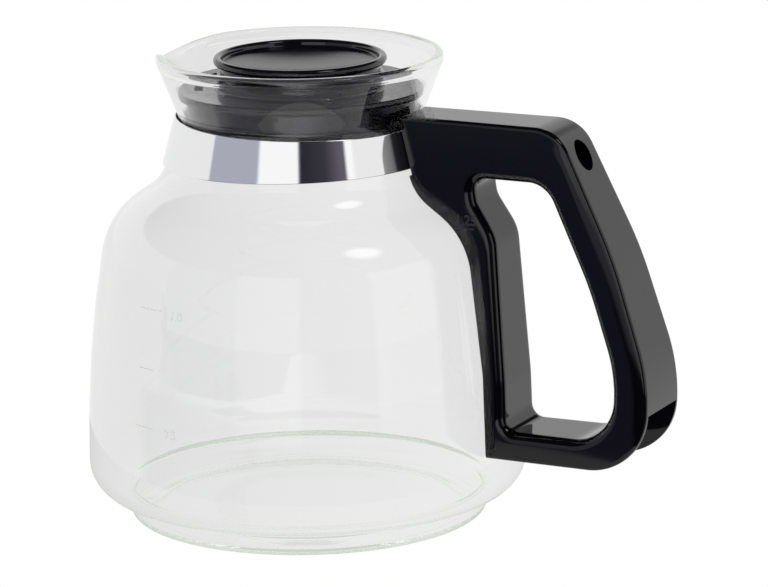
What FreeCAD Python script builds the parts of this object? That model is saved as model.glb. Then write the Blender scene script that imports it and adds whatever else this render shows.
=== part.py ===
"""A 1.25 litre glass coffee jug with a steel neck band, a hollow moulded handle and a drop-in lid.

Millimetres. +Z is up, the handle points along +X and the pouring spout along -X. The origin is on the
jug's axis, in the plane it stands on. Round parts are drawn as half sections of (radius, height, rounding)
corners and turned about Z; the handle is drawn from the side as (x, z, rounding) corners.
"""
import FreeCAD, Part
import math
import os

V = FreeCAD.Vector
AXIS = V(0, 0, 1)
ORIGIN = V(0, 0, 0)
FAR = 200.0
DEEP = FAR / 4                # half depth of the handle's blank and of the tools that hollow it
PAST = 6.0                    # how far a cutting tool runs past what it cuts
BITE = 1.0                    # the same for small tools
SEW = 1e-3

# Glass: outer half section from the axis to the neck, blown to an even wall
GLASS_WALL = 2.1
FLOOR_R = 30.0
PUNT = (46.0, 1.5)
PUNT_BLEND = 9.0
FOOT_IN = (50.5, 0.0)
FOOT_IN_ROUND = 3.0
FOOT_FLAT = (51.8, 54.0)
FOOT_R = 57.0
FOOT_ROUND = 2.6
FOOT_TOP = (57.6, 7.5)
FOOT_STEP_ROUND = 1.0
BELLY_R = 70.0
BELLY_LOW_ROUND = 10.9
BELLY_BOW = (52.9, 375.0)
SHOULDER = (62.2, 96.3, 24.0)
NECK_LOW = (44.5, 108.4, 16.0)
NECK_TOP = (38.9, 129.6, 4.0)
RIM_R = 45.2
RIM_TOP = 148.6
RIM_LIP = 2.6
RIM_LIP_ROUND = 3.0
RIM_BEAD = 3.0
RIM_ROUND = 1.4
BEAD_DEPTH = 3.6
BEAD_BLEND = 2.0
MOUTH_START = 133.0

# Spout: the rim is pulled out to a point and down, opposite the handle
SPOUT_HALF_ANGLE = math.radians(33.0)
SPOUT_REACH = 8.0
SPOUT_DROP = 6.4
POLES_ROUND = 60
RUN_STEP = 4.0
ARC_STEP = math.radians(12.0)

# Neck band and the strip between it and the glass
LINER_GAP = 0.1
LINER_T = 0.35
LINER_INSET = 0.3
BAND_T = 0.5
BAND_LOW = 115.1
BAND_HIGH = 128.7
BAND_LOW_TILT = 0.027
BAND_HIGH_TILT = -0.019
RING_BLANK = (BAND_LOW - 4, BAND_HIGH + 3)
EAR_Y = 5.2
EAR_START = 30.0
EAR_END = 57.0
EAR_H = 9.0

# Clamp screw and what it pulls on
SCREW_Z = 123.2
SCREW_R = 1.95
SCREW_LENGTH = 20.0
SCREW_HEAD_R = 4.0
SCREW_HEAD_H = 3.0
THREAD_R = 2.0
CLEAR_R = 2.2
YOKE_X = 52.0
YOKE_T = 2.0
YOKE_TAB_Y = 6.7
YOKE_TAB_H = 4.0
YOKE_HALF_H = 4.5
TAB_GAP = 0.2
NUT_SIDE = 7.0
NUT_T = 2.2
WASHER_R = 4.3
WASHER_T = 0.8
SPRING_R = 3.7
SPRING_T = 0.9
SEAT = 0.02
NUT_CHAMFER_R = 3.85
SPLIT_GAP = 0.7
SPLIT_SLANT = 25.0
SHANK_CHAMFER = 0.6
HEAD_ROUND = 1.4
CROSS_REACH = 2.1
CROSS_HALF = 0.45
CROSS_DEPTH = 1.8

# Handle: a hollow moulding, open towards the glass and under its lower arm
WALL = 2.2
GLASS_CLEARANCE = 0.3
BAND_CLEARANCE = 1.3
HANDLE_TOP = 132.6
HANDLE_BOTTOM = 26.5
WEB_END = 45.3
HALF_WIDTH = 11.2
HALF_WIDTH_AT = (68.6, 73.2)
WIDEN_OUT = 0.0198
WIDEN_DOWN = 0.0311
OUTER_ROUND = 1.1
OPENING_ROUND = 3.0
BULKHEAD_X = 63.0
BULKHEAD_T = 3.0
ACCESS_R = 4.6
ACCESS_START = 10.0           # behind the bulkhead, where the access hole's tool starts
HEAD_ROOM = 3.0               # free height kept over the band inside the handle's head
RIB_INTO = 10.0               # how far the rib tools start inside the belly, before they are trimmed
POST_RIBS = ((46.0, 73.2), (62.0, 72.6), (78.0, 71.5))
RIB_T = 1.6
BLANK_START = 20.0
HANDLE_SIDE = [(BLANK_START, HANDLE_TOP, 0), (92.9, HANDLE_TOP, 13.0), (112.0, 93.6, 120.0),
               (123.9, 56.7, 60.0), (122.6, HANDLE_BOTTOM, 20.0), (BLANK_START, HANDLE_BOTTOM, 0)]
OPENING_SIDE = [(63.4, 114.8, 4.0), (88.4, 114.8, 9.5), (103.2, 83.6, 100.0), (111.9, 57.5, 45.0),
                (111.3, 35.4, 14.0), (74.7, 35.4, 4.0), (74.5, 50.0, 60.0), (71.3, 96.6, 14.0),
                (64.5, 107.0, 6.0)]
CHANNEL_IN = 95.0
CHANNEL_TOP = 30.0

# Lid
LID_FLANGE_R = 39.0
LID_FLANGE_LOW = 136.2
LID_FLANGE_TOP = 138.6
LID_FLOOR_TOP = 138.2
LID_SKIRT_R = 36.2
LID_SKIRT_LOW = 125.0
LID_SKIRT_T = 1.8
COLLAR_R = 26.3
COLLAR_BORE = 24.4
COLLAR_TOP = 142.3
KNOB_FIT = 0.15
KNOB_R = 27.4
KNOB_TOP = 147.8
KNOB_BARREL_R = 25.3
KNOB_WALL = 1.8
KNOB_BEAD = 2.5
DISH_DEPTH = 4.2
POUR_SLOT_ANGLES = (-27.0, 0.0, 27.0)
POUR_SLOT_SPAN = 17.0
POUR_SLOT_R = (30.7, 33.5)
POUR_NOTCH_HALF = 15.0
POUR_NOTCH_H = 7.5
CLIP_ANGLES = (60.0, 180.0, 300.0)
CLIP_R = 22.6
CLIP_W = 6.0
CLIP_T = 1.5
CLIP_HOOK = 0.9
CLIP_GAP = 0.2
CLIP_END = LID_FLANGE_LOW - 1.6


def at(corner):
    """The corner (across, up, rounding) as a point in the XZ plane."""
    return V(corner[0], 0, corner[1])


def rounded(corners, closed=False):
    """A wire of straight runs between corners (across, up, radius), with each corner's arc put in."""
    if closed:
        corners = [corners[-1]] + list(corners) + [corners[0]]
    edges = []
    start = None if closed else at(corners[0])
    first = None
    for before, corner, after in zip(corners, corners[1:], corners[2:]):
        here = at(corner)
        back = (at(before) - here).normalize()
        ahead = (at(after) - here).normalize()
        half = back.getAngle(ahead) / 2
        reach = corner[2] / math.tan(half)
        enter = here + back * reach
        leave = here + ahead * reach
        if start is not None:
            edges.append(Part.LineSegment(start, enter).toShape())
        if corner[2]:
            middle = here + (back + ahead).normalize() * (corner[2] / math.sin(half) - corner[2])
            edges.append(Part.Arc(enter, middle, leave).toShape())
        first = first or enter
        start = leave
    edges.append(Part.LineSegment(start, first if closed else at(corners[-1])).toShape())
    return Part.Wire(edges)


def inset(corners, gap):
    """An open outline moved by gap to the left of its direction. Arcs keep their centres."""
    runs = [(at(b) - at(a)).normalize() for a, b in zip(corners, corners[1:])]
    moved = []
    for i, corner in enumerate(corners):
        before = runs[max(i - 1, 0)]
        after = runs[min(i, len(runs) - 1)]
        normal = V(-before.z, 0, before.x)
        both = normal + V(-after.z, 0, after.x)
        place = at(corner) + both * (gap / both.dot(normal))
        left_turn = before.x * after.z - before.z * after.x
        radius = max(corner[2] - gap * math.copysign(1, left_turn), 0) if corner[2] else 0
        moved.append((place.x, place.z, radius))
    return moved


def turned(corners):
    """The solid made by turning a closed half section about Z."""
    return Part.Face(rounded(corners, closed=True)).revolve(ORIGIN, AXIS, 360)


def box(x, y, z):
    """A box between two x, two y and two z values."""
    return Part.makeBox(x[1] - x[0], y[1] - y[0], z[1] - z[0], V(x[0], y[0], z[0]))


def rod(radius, x0, x1, z=SCREW_Z):
    """A round bar along X at height z."""
    return Part.makeCylinder(radius, x1 - x0, V(x0, 0, z), V(1, 0, 0))


def slab(corners, y):
    """A side outline of (x, z, radius) corners, made into a solid from -y to y."""
    face = Part.Face(rounded(corners, closed=True))
    face.translate(V(0, -y, 0))
    return face.extrude(V(0, 2 * y, 0))


# ---------------------------------------------------------------- glass

def glass_section():
    """Outer corners from the middle of the floor, under the foot, up the belly and neck to the rim."""
    return [(FLOOR_R, PUNT[1], 0), PUNT + (PUNT_BLEND,), FOOT_IN + (FOOT_IN_ROUND,), (FOOT_R, 0, FOOT_ROUND),
            FOOT_TOP + (FOOT_STEP_ROUND,), (BELLY_R, FOOT_TOP[1], BELLY_LOW_ROUND), (BELLY_R,) + BELLY_BOW,
            SHOULDER, NECK_LOW, NECK_TOP, (RIM_R, RIM_TOP - RIM_LIP, RIM_LIP_ROUND),
            (RIM_R, RIM_TOP, RIM_ROUND)]


def spout(angle):
    """How far the rim is drawn into the spout at this angle from +X: 0 away from it, 1 at its point."""
    off = abs(math.remainder(angle - math.pi, 2 * math.pi))
    if off >= SPOUT_HALF_ANGLE:
        return 0.0
    return (1 / math.cos(SPOUT_HALF_ANGLE - off) - 1) / (1 / math.cos(SPOUT_HALF_ANGLE) - 1)


def along(wire):
    """Points along a wire, close enough together on its arcs to draw one smooth curve through them."""
    points = []
    for edge in wire.Edges:
        turn = edge.Length / edge.Curve.Radius if hasattr(edge.Curve, "Radius") else 0
        count = max(2, math.ceil(edge.Length / RUN_STEP), math.ceil(turn / ARC_STEP))
        points += edge.discretize(count + 1)[:-1]
    return points + [wire.Edges[-1].Vertexes[-1].Point]


def blown(corners):
    """A smooth skin turned from an open half section, with the spout drawn out of it above the neck."""
    curve = Part.BSplineCurve()
    curve.interpolate(along(rounded(corners)))
    step = 2 * math.pi / POLES_ROUND
    swell = 3 / (2 + math.cos(step))
    grid = []
    for i in range(POLES_ROUND):
        angle = (i - 1) * step
        row = []
        for pole in curve.getPoles():
            rise = max(pole.z - MOUTH_START, 0) / (RIM_TOP - MOUTH_START)
            pull = spout(angle) * rise ** 2
            radius = (pole.x + SPOUT_REACH * pull) * swell
            row.append(V(radius * math.cos(angle), radius * math.sin(angle), pole.z - SPOUT_DROP * pull))
        grid.append(row)
    skin = Part.BSplineSurface()
    skin.buildFromPolesMultsKnots(grid, [1] * (POLES_ROUND + 1), curve.getMultiplicities(),
                                  list(range(POLES_ROUND + 1)), curve.getKnots(), True, False, 3, 3)
    return skin.toShape()


def rim_of(skin, height):
    """The narrowest closed edge of a blown skin at this height, as a wire."""
    edges = [e for e in skin.Edges if e.BoundBox.ZLength < SEW and abs(e.BoundBox.ZMin - height) < SEW]
    return Part.Wire(min(edges, key=lambda e: e.Length))


def glass_jug():
    outer = glass_section()
    inner = inset(outer, GLASS_WALL)[:-2]
    inner[0] = (FLOOR_R, inner[0][1], 0)
    bead_in = RIM_R - RIM_BEAD
    over_rim = [(bead_in, RIM_TOP, RIM_ROUND), (bead_in, RIM_TOP - BEAD_DEPTH, BEAD_BLEND)]
    wall = blown([(FOOT_FLAT[1], 0, 0)] + outer[3:] + over_rim + inner[::-1])
    under = blown(outer[:3] + [(FOOT_FLAT[0], 0, 0)])
    floor = rim_of(wall, inner[0][1])
    faces = [wall, under, Part.Face(floor), Part.Face(rim_of(under, PUNT[1]))]
    faces.append(Part.Face([rim_of(wall, 0), rim_of(under, 0)]))
    shell = Part.makeCompound(faces)
    shell.sewShape(SEW)
    solid = Part.makeSolid(shell.Shells[0])
    solid.fix(SEW, SEW, SEW)
    return solid


# ---------------------------------------------------------------- neck band

def neck_radius(z):
    """The glass neck's outer radius under the band, at height z."""
    share = (z - NECK_LOW[1]) / (NECK_TOP[1] - NECK_LOW[1])
    return NECK_LOW[0] + share * (NECK_TOP[0] - NECK_LOW[0])


def neck_ring(gap, thickness, low, high):
    """A conical ring standing off the neck by gap, cut flat at low and high."""
    near = [(neck_radius(z) + gap, z, 0) for z in (low, high)]
    far = [(neck_radius(z) + gap + thickness, z, 0) for z in (high, low)]
    return turned(near + far)


def neck_plug(gap, low, high):
    """All the room inside the neck's outer wall, and gap beyond it."""
    side = [(neck_radius(z) + gap, z, 0) for z in (low, high)]
    return turned([(0, low, 0)] + side + [(0, high, 0)])


def below_tilt(height, tilt):
    """Everything under a plane that crosses the axis at height and rises by tilt along X."""
    corners = [(-FAR, height - FAR * tilt, 0), (FAR, height + FAR * tilt, 0), (FAR, -FAR, 0), (-FAR, -FAR, 0)]
    return slab(corners, FAR)


def tapering(ring, narrower):
    """A neck ring trimmed to the band's edges, which close up towards the handle, less narrower each way."""
    ring = ring.common(below_tilt(BAND_HIGH - narrower, BAND_HIGH_TILT))
    return ring.cut(below_tilt(BAND_LOW + narrower, BAND_LOW_TILT))


def band_liner():
    ring = tapering(neck_ring(LINER_GAP, LINER_T, *RING_BLANK), LINER_INSET)
    return ring.cut(box((0, FAR), (-EAR_Y, EAR_Y), (0, FAR)))


def neck_band():
    gap = LINER_GAP * 2 + LINER_T
    ring = tapering(neck_ring(gap, BAND_T, *RING_BLANK), 0)
    ring = ring.cut(box((0, FAR), (-EAR_Y, EAR_Y), (0, FAR)))
    low = SCREW_Z - EAR_H / 2
    inside = neck_plug(gap, BAND_LOW - PAST, BAND_HIGH + PAST)
    for side in (-1, 1):
        y = sorted((side * EAR_Y, side * (EAR_Y + BAND_T)))
        ear = box((EAR_START, EAR_END), y, (low, low + EAR_H)).cut(inside)
        slot = box((YOKE_X - TAB_GAP, YOKE_X + YOKE_T + TAB_GAP), y,
                   (SCREW_Z - YOKE_TAB_H / 2 - TAB_GAP, SCREW_Z + YOKE_TAB_H / 2 + TAB_GAP))
        ring = ring.fuse(ear.cut(slot))
    return ring.removeSplitter()


# ---------------------------------------------------------------- clamp

def band_yoke():
    """A pressed plate across the band's ears, with a tab through each."""
    middle = EAR_Y - TAB_GAP / 2
    plate = box((YOKE_X, YOKE_X + YOKE_T), (-middle, middle), (SCREW_Z - YOKE_HALF_H, SCREW_Z + YOKE_HALF_H))
    tabs = box((YOKE_X, YOKE_X + YOKE_T), (-YOKE_TAB_Y, YOKE_TAB_Y),
               (SCREW_Z - YOKE_TAB_H / 2, SCREW_Z + YOKE_TAB_H / 2))
    return plate.fuse(tabs).removeSplitter().cut(rod(CLEAR_R, 0, FAR))


def yoke_nut():
    """A square nut on the glass side of the yoke."""
    half = NUT_SIDE / 2
    x = (YOKE_X - SEAT - NUT_T, YOKE_X - SEAT)
    nut = box(x, (-half, half), (SCREW_Z - half, SCREW_Z + half))
    chamfer = Part.makeCone(NUT_CHAMFER_R, NUT_CHAMFER_R + NUT_T, NUT_T, V(x[0], 0, SCREW_Z), V(1, 0, 0))
    return nut.common(chamfer).cut(rod(THREAD_R, 0, FAR))


def flat_washer():
    x = BULKHEAD_X + BULKHEAD_T + SEAT
    return rod(WASHER_R, x, x + WASHER_T).cut(rod(CLEAR_R, 0, FAR))


def spring_washer():
    """A split ring, its ends cut on the slant."""
    x = BULKHEAD_X + BULKHEAD_T + WASHER_T + 2 * SEAT
    ring = rod(SPRING_R, x, x + SPRING_T).cut(rod(CLEAR_R, 0, FAR))
    split = box((-SPRING_R, SPRING_R), (-SPLIT_GAP / 2, SPLIT_GAP / 2), (0, SPRING_R + BITE))
    split.rotate(ORIGIN, AXIS, SPLIT_SLANT)
    split.translate(V(x + SPRING_T / 2, 0, SCREW_Z))
    return ring.cut(split)


def clamp_screw():
    """A pan-head screw with a cross recess, its head outwards under the access hole."""
    seat = BULKHEAD_X + BULKHEAD_T + WASHER_T + SPRING_T + 3 * SEAT
    shank = rod(SCREW_R, seat - SCREW_LENGTH, seat + BITE)
    tip = [e for e in shank.Edges if abs(e.CenterOfMass.x - seat + SCREW_LENGTH) < SEW]
    shank = shank.makeChamfer(SHANK_CHAMFER, tip)
    head = rod(SCREW_HEAD_R, seat, seat + SCREW_HEAD_H)
    rim = [e for e in head.Edges if e.Curve.TypeId == "Part::GeomCircle" and e.CenterOfMass.x > seat + BITE]
    screw = head.makeFillet(HEAD_ROUND, rim).fuse(shank)
    depth = (seat + SCREW_HEAD_H - CROSS_DEPTH, seat + SCREW_HEAD_H + BITE)
    cross = box(depth, (-CROSS_REACH, CROSS_REACH), (SCREW_Z - CROSS_HALF, SCREW_Z + CROSS_HALF))
    cross = cross.fuse(box(depth, (-CROSS_HALF, CROSS_HALF), (SCREW_Z - CROSS_REACH, SCREW_Z + CROSS_REACH)))
    return screw.cut(cross).removeSplitter()


# ---------------------------------------------------------------- handle

def half_width(x, z):
    """Half the handle's width: it widens outwards and downwards."""
    return HALF_WIDTH + WIDEN_OUT * (x - HALF_WIDTH_AT[0]) - WIDEN_DOWN * (z - HALF_WIDTH_AT[1])


def wedge(thinner):
    """The space between the handle's two flat sides, each moved in by thinner."""
    rings = []
    for x, z in ((0, 0), (FAR, 0), (FAR, FAR), (0, FAR)):
        y = half_width(x, z) - thinner
        rings.append((V(x, -y, z), V(x, y, z)))
    near = [r[0] for r in rings]
    far = [r[1] for r in rings]
    walls = [[near[i], near[i - 1], far[i - 1], far[i]] for i in range(4)]
    faces = [Part.Face(Part.makePolygon(ring + ring[:1])) for ring in [near, far] + walls]
    return Part.makeSolid(Part.makeShell(faces))


def side_edges(shape, in_opening):
    """Edges where the flat sides meet the outside of the handle, or the wall of its opening."""
    low = V(OPENING_SIDE[0][0] - 2, 0, OPENING_SIDE[4][1] - 1)
    high = V(OPENING_SIDE[3][0] + 1, 0, OPENING_SIDE[0][1] + 1)
    found = []
    for edge in shape.Edges:
        points = edge.discretize(3)
        if any(abs(abs(p.y) - half_width(p.x, p.z)) > 1e-3 for p in points):
            continue
        middle = points[1]
        inside = low.x < middle.x < high.x and low.z < middle.z < high.z
        if inside == in_opening and middle.x > BLANK_START + BITE:
            found.append(edge)
    return found


def glass_space(gap):
    """The room the glass and its band take, grown by gap."""
    outline = inset(glass_section(), -gap)
    space = turned([(0, outline[0][1], 0)] + outline[1:] + [(0, RIM_TOP + gap, 0)])
    return space.fuse(neck_plug(BAND_CLEARANCE, BAND_LOW - BITE, BAND_HIGH + HEAD_ROOM))


def handle_hollow():
    """The inside: a wall inside the outer web and round the opening, open to the glass and at the foot."""
    hollow = slab(inset(HANDLE_SIDE, -WALL), DEEP)
    foot = slab([(CHANNEL_IN, WEB_END, 0), (FAR, WEB_END, 0), (FAR, 0, 0), (BLANK_START, 0, 0),
                 (BLANK_START, CHANNEL_TOP, 0), (CHANNEL_IN, CHANNEL_TOP, 0)], DEEP)
    opening = inset(OPENING_SIDE + OPENING_SIDE[:2], WALL)
    hollow = hollow.fuse(foot).cut(slab(opening[1:-1], DEEP))
    return hollow.common(wedge(WALL))


def handle():
    blank = slab(HANDLE_SIDE, DEEP).common(wedge(0)).cut(slab(OPENING_SIDE, DEEP))
    blank = blank.makeFillet(OUTER_ROUND, side_edges(blank, False))
    blank = blank.makeFillet(OPENING_ROUND, side_edges(blank, True))
    shell = blank.cut(handle_hollow())
    above_opening = (OPENING_SIDE[0][1] + 1, HANDLE_TOP - 1)
    webs = [box((BULKHEAD_X, BULKHEAD_X + BULKHEAD_T), (-FAR, FAR), above_opening)]
    for z, x in POST_RIBS:
        webs.append(box((BELLY_R - RIB_INTO, x), (-FAR, FAR), (z, z + RIB_T)))
    for web in webs:
        shell = shell.fuse(web.common(wedge(WALL / 2)))
    shell = shell.cut(glass_space(GLASS_CLEARANCE))
    shell = shell.cut(rod(CLEAR_R, 0, BULKHEAD_X + BULKHEAD_T + BITE))
    return shell.cut(rod(ACCESS_R, BULKHEAD_X + BULKHEAD_T + ACCESS_START, FAR)).removeSplitter()


# ---------------------------------------------------------------- lid

def sector(r0, r1, low, high, centre, span):
    """Part of a ring, span degrees wide about the angle centre."""
    ring = turned([(r0, low, 0), (r1, low, 0), (r1, high, 0), (r0, high, 0)])
    slice_ = Part.makeCylinder(r1 + PAST, high - low, V(0, 0, low), AXIS, span)
    slice_.rotate(ORIGIN, AXIS, centre - span / 2)
    return ring.common(slice_)


def clips(grow, low, high):
    """The three clip legs, or with grow the holes they pass through."""
    legs = []
    for angle in CLIP_ANGLES:
        half = CLIP_W / 2 + grow
        leg = box((CLIP_R - CLIP_T - grow, CLIP_R + grow), (-half, half), (low, high))
        leg.rotate(ORIGIN, AXIS, angle)
        legs.append(leg)
    return legs


def lid_body():
    """Flange, neck skirt and a collar for the knob, over a closed floor."""
    body = turned([(0, LID_FLANGE_LOW, 0), (LID_SKIRT_R - LID_SKIRT_T, LID_FLANGE_LOW, 1.0),
                   (LID_SKIRT_R - LID_SKIRT_T, LID_SKIRT_LOW, 0.6), (LID_SKIRT_R, LID_SKIRT_LOW, 0.8),
                   (LID_SKIRT_R, LID_FLANGE_LOW, 0.6), (LID_FLANGE_R, LID_FLANGE_LOW, 1.2),
                   (LID_FLANGE_R, LID_FLANGE_TOP, 1.1), (COLLAR_R, LID_FLANGE_TOP, 0.8),
                   (COLLAR_R, COLLAR_TOP, 0.6), (COLLAR_BORE, COLLAR_TOP, 0.3),
                   (COLLAR_BORE, LID_FLOOR_TOP, 0.3), (0, LID_FLOOR_TOP, 0)])
    for angle in POUR_SLOT_ANGLES:
        slot = sector(POUR_SLOT_R[0], POUR_SLOT_R[1], LID_FLANGE_LOW - 1, LID_FLANGE_TOP + 1, 180 + angle,
                      POUR_SLOT_SPAN)
        body = body.cut(slot)
    notch = box((-LID_SKIRT_R - 5, -LID_SKIRT_R / 2), (-POUR_NOTCH_HALF, POUR_NOTCH_HALF),
                (LID_SKIRT_LOW - 1, LID_SKIRT_LOW + POUR_NOTCH_H))
    body = body.cut(notch)
    for hole in clips(CLIP_HOOK + CLIP_GAP, LID_FLANGE_LOW - 1, LID_FLOOR_TOP + 1):
        body = body.cut(hole)
    return body


def lid_knob():
    """A shallow dish with a rolled rim on a short barrel, held by three clip legs."""
    spigot = COLLAR_BORE - KNOB_FIT
    low = LID_FLANGE_TOP
    dish = KNOB_TOP - DISH_DEPTH
    bead_in = KNOB_R - KNOB_BEAD
    knob = turned([(0, dish - KNOB_WALL, 0), (spigot - KNOB_WALL, dish - KNOB_WALL + 0.8, 1.2),
                   (spigot - KNOB_WALL, low, 0.3), (spigot, low, 0.4), (spigot, COLLAR_TOP + KNOB_FIT, 0),
                   (KNOB_BARREL_R, COLLAR_TOP + KNOB_FIT, 0.4), (KNOB_BARREL_R, KNOB_TOP - KNOB_BEAD, 0.6),
                   (KNOB_R, KNOB_TOP - KNOB_BEAD, 1.1), (KNOB_R, KNOB_TOP, 1.2), (bead_in, KNOB_TOP, 1.2),
                   (bead_in - 0.3, dish + 1.3, 0.7), (0, dish, 0)])
    legs = clips(0, CLIP_END, dish - KNOB_WALL)
    hooks = []
    for angle in CLIP_ANGLES:
        catch = LID_FLANGE_LOW - CLIP_GAP
        hook = slab([(CLIP_R - CLIP_T, CLIP_END, 0), (CLIP_R, CLIP_END, 0), (CLIP_R + CLIP_HOOK, catch, 0),
                     (CLIP_R - CLIP_T, catch, 0)], CLIP_W / 2)
        hook.rotate(ORIGIN, AXIS, angle)
        hooks.append(hook)
    for leg in legs + hooks:
        knob = knob.fuse(leg)
    return knob.removeSplitter()


# ---------------------------------------------------------------- output

NODES = {
    "glass_jug": glass_jug,
    "band_liner": band_liner,
    "neck_band": neck_band,
    "band_yoke": band_yoke,
    "yoke_nut": yoke_nut,
    "clamp_screw": clamp_screw,
    "flat_washer": flat_washer,
    "spring_washer": spring_washer,
    "handle": handle,
    "lid_body": lid_body,
    "lid_knob": lid_knob,
}


def main():
    os.makedirs("parts", exist_ok=True)
    for name, make in NODES.items():
        shape = make()
        solids = shape.Solids
        print(f"{name}: {len(solids)} solid(s), valid {shape.isValid()}, {shape.Volume / 1000:.2f} cm3")
        if len(solids) == 1:
            shape = solids[0]
        shape.exportStep(f"parts/{name}.step")


main()
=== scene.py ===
"""Looks for the glass coffee jug: blown glass, polished band, gloss-black handle and lid.

Shapes are worked out in millimetres and scaled once, when a mesh is made.
"""
import math

import bmesh
import bpy
from mathutils import Matrix, Vector


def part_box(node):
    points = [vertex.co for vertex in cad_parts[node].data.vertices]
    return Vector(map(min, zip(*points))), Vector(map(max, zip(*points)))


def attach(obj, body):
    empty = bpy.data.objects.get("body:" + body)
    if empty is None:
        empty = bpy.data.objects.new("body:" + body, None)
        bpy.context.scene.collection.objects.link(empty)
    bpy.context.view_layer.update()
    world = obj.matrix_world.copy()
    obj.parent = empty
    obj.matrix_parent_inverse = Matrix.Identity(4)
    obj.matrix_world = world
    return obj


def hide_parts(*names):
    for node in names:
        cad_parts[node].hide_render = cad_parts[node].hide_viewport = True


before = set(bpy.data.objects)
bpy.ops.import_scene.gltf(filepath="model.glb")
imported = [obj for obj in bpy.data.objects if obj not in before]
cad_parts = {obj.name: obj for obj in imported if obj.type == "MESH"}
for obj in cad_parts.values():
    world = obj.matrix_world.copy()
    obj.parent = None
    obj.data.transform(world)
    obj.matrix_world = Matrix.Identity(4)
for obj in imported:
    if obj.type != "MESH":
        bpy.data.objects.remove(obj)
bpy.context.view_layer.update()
MM = 0.001
LIGHT_TURNS = 32

# ---------------------------------------------------------------- camera

AZIMUTH = math.radians(27.4)
SENSOR = 36.0
LENS = 232.79
CAMERA_AT = Vector((0.70711, -1.36412, 0.44452))
CAMERA_WAY = Vector((-0.432930, 0.869744, -0.236898))
CAMERA_ROLL = -0.017397
TO_CAMERA = Vector((math.sin(AZIMUTH), -math.cos(AZIMUTH), 0.0))
TO_RIGHT = Vector((math.cos(AZIMUTH), math.sin(AZIMUTH), 0.0))


def add_camera():
    """The camera, 1.6 m off, a little above the jug and rolled one degree."""
    ahead = CAMERA_WAY.normalized()
    level = ahead.cross(Vector((0, 0, 1))).normalized()
    over = level.cross(ahead)
    right = level * math.cos(CAMERA_ROLL) + over * math.sin(CAMERA_ROLL)
    up = over * math.cos(CAMERA_ROLL) - level * math.sin(CAMERA_ROLL)
    data = bpy.data.cameras.new("camera")
    data.sensor_width = SENSOR
    data.lens = LENS
    data.clip_start = 0.05
    data.clip_end = 20.0
    cam = bpy.data.objects.new("camera", data)
    bpy.context.scene.collection.objects.link(cam)
    turn = Matrix((right, up, -ahead)).transposed()
    cam.matrix_world = Matrix.Translation(CAMERA_AT) @ turn.to_4x4()
    bpy.context.scene.camera = cam


add_camera()
bpy.context.scene.view_settings.view_transform = "Standard"
paths = bpy.context.scene.cycles
paths.max_bounces = LIGHT_TURNS
paths.glossy_bounces = LIGHT_TURNS
paths.transmission_bounces = LIGHT_TURNS


# ---------------------------------------------------------------- shader helpers

class Nodes:
    """A node tree with short calls for the nodes used here."""

    def __init__(self, tree):
        self.tree = tree
        tree.nodes.clear()

    def feed(self, socket, value):
        if isinstance(value, bpy.types.NodeSocket):
            self.tree.links.new(value, socket)
        else:
            socket.default_value = value

    def add(self, kind, inputs=None, **settings):
        node = self.tree.nodes.new("ShaderNode" + kind)
        for key, value in settings.items():
            setattr(node, key, value)
        for key, value in (inputs or {}).items():
            self.feed(node.inputs[key], value)
        return node

    def dot(self, vector, axis):
        return self.add("VectorMath", {0: vector, 1: tuple(axis)}, operation="DOT_PRODUCT").outputs["Value"]

    def ranged(self, value, low, high):
        """A 0 to 1 value spread from low to high."""
        return self.add("MapRange", {"Value": value, "To Min": low, "To Max": high}).outputs[0]

    def math(self, operation, a, b=0.0, c=None):
        inputs = {0: a, 1: b}
        if c is not None:
            inputs[2] = c
        return self.add("Math", inputs, operation=operation).outputs[0]

    def between(self, value, low, high):
        """0 under low, 1 over high, smooth between."""
        ends = {"Value": value, "From Min": low, "From Max": high}
        return self.add("MapRange", ends, interpolation_type="SMOOTHSTEP").outputs["Result"]

    def mix(self, factor, a, b):
        node = self.add("Mix", data_type="RGBA")
        for name, value in (("Factor_Float", factor), ("A_Color", a), ("B_Color", b)):
            self.feed(next(s for s in node.inputs if s.identifier == name), value)
        return next(s for s in node.outputs if s.identifier == "Result_Color")

    def noise(self, scale, detail, stretch=None):
        vector = self.add("TexCoord").outputs["Object"]
        if stretch is not None:
            vector = self.add("Mapping", {"Vector": vector, "Scale": stretch}).outputs[0]
        return self.add("TexNoise", {"Vector": vector, "Scale": scale, "Detail": detail}).outputs["Fac"]

    def bump(self, height, distance, strength):
        return self.add("Bump", {"Height": height, "Distance": distance, "Strength": strength}).outputs[0]


def grey(value, blue=1.0):
    return (value, value, value * blue, 1.0)


# ---------------------------------------------------------------- studio

FLAT_WALL = grey(0.91)
VIOLET_PANEL = (0.44, 0.45, 0.53, 1)
VIOLET_FLOOR = (0.11, 0.107, 0.19, 1)
DARK_FLOOR = grey(0.012, 1.3)
CEILING = grey(0.026, 1.1)
LAMP = grey(4.5)
WALL_EDGE = 27.0              # degrees up, where the walls meet the ceiling
EDGE_SOFT = 1.5
FLOOR_EDGE = (-7.0, -9.0)
LAMP_ROUND = 50.0             # degrees round from the camera, towards its right
LAMP_RISE = 55.0
LAMP_SOFT = (11.0, 3.0)
TO_ROUGH = 1.1                # even light on rough surfaces
THROUGH_LEFT = 0.75           # the floor as it is seen through the glass, with painted shade: darker to the left, paler to the right
THROUGH_RIGHT = 0.84

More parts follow.
